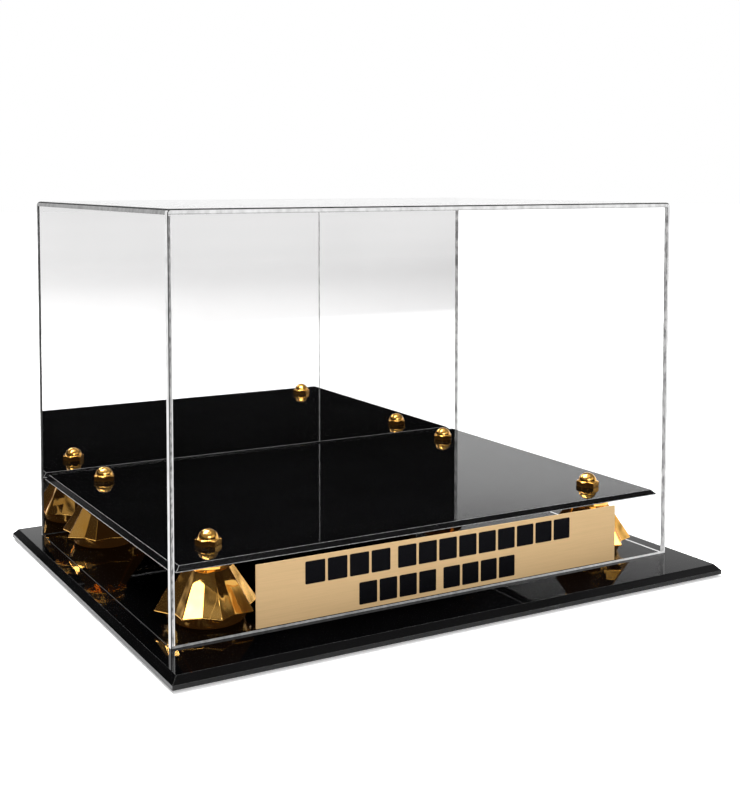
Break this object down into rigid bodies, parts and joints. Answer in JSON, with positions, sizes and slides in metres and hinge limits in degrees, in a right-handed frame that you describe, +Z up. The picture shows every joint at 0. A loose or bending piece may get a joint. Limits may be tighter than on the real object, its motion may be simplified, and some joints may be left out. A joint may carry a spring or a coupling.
{
  "type": "football display case",
  "caption": "Clear five-sided cover with a mirrored back and a gold nameplate over a bevelled black base, with a raised black platform on pleated gold risers.",
  "frame": {"origin": "middle of the base board's outline, at the height of the surface that the case stands on", "axes": "+X to the right along the front, +Y to the back, +Z up"},
  "size_m": [0.381, 0.318, 0.2445],
  "materials": {
    "black_acrylic": "polished gloss black acrylic",
    "clear_acrylic": "clear polished acrylic",
    "mirror": "mirrored acrylic, silvered and painted on its back",
    "gold_plating": "polished gold plating",
    "brushed_gold": "brushed champagne gold",
    "steel": "zinc-plated steel",
    "bumper_rubber": "matt black rubber",
    "tape": "white double-sided film"
  },
  "bodies": {
    "stand": {"base_board": "black_acrylic", "display_platform": "black_acrylic", "riser_front_left": "gold_plating", "riser_front_right": "gold_plating", "riser_back_left": "gold_plating", "riser_back_right": "gold_plating", "riser_bolt_front_left": "steel", "riser_bolt_front_right": "steel", "riser_bolt_back_left": "steel", "riser_bolt_back_right": "steel", "cap_nut_front_left": "gold_plating", "cap_nut_front_right": "gold_plating", "cap_nut_back_left": "gold_plating", "cap_nut_back_right": "gold_plating", "bumper_front_left": "bumper_rubber", "bumper_front_right": "bumper_rubber", "bumper_back_left": "bumper_rubber", "bumper_back_right": "bumper_rubber"},
    "cover": {"cover_front_panel": "clear_acrylic", "cover_left_panel": "clear_acrylic", "cover_right_panel": "clear_acrylic", "cover_top_panel": "clear_acrylic", "cover_mirror_back": "mirror", "nameplate": "brushed_gold", "nameplate_tape": "tape"}
  },
  "joints": [
    {"name": "cover_lift", "type": "slide", "parent": "stand", "child": "cover", "axis": [0, 0, 1], "range_m": [0, 0.25]}
  ]
}
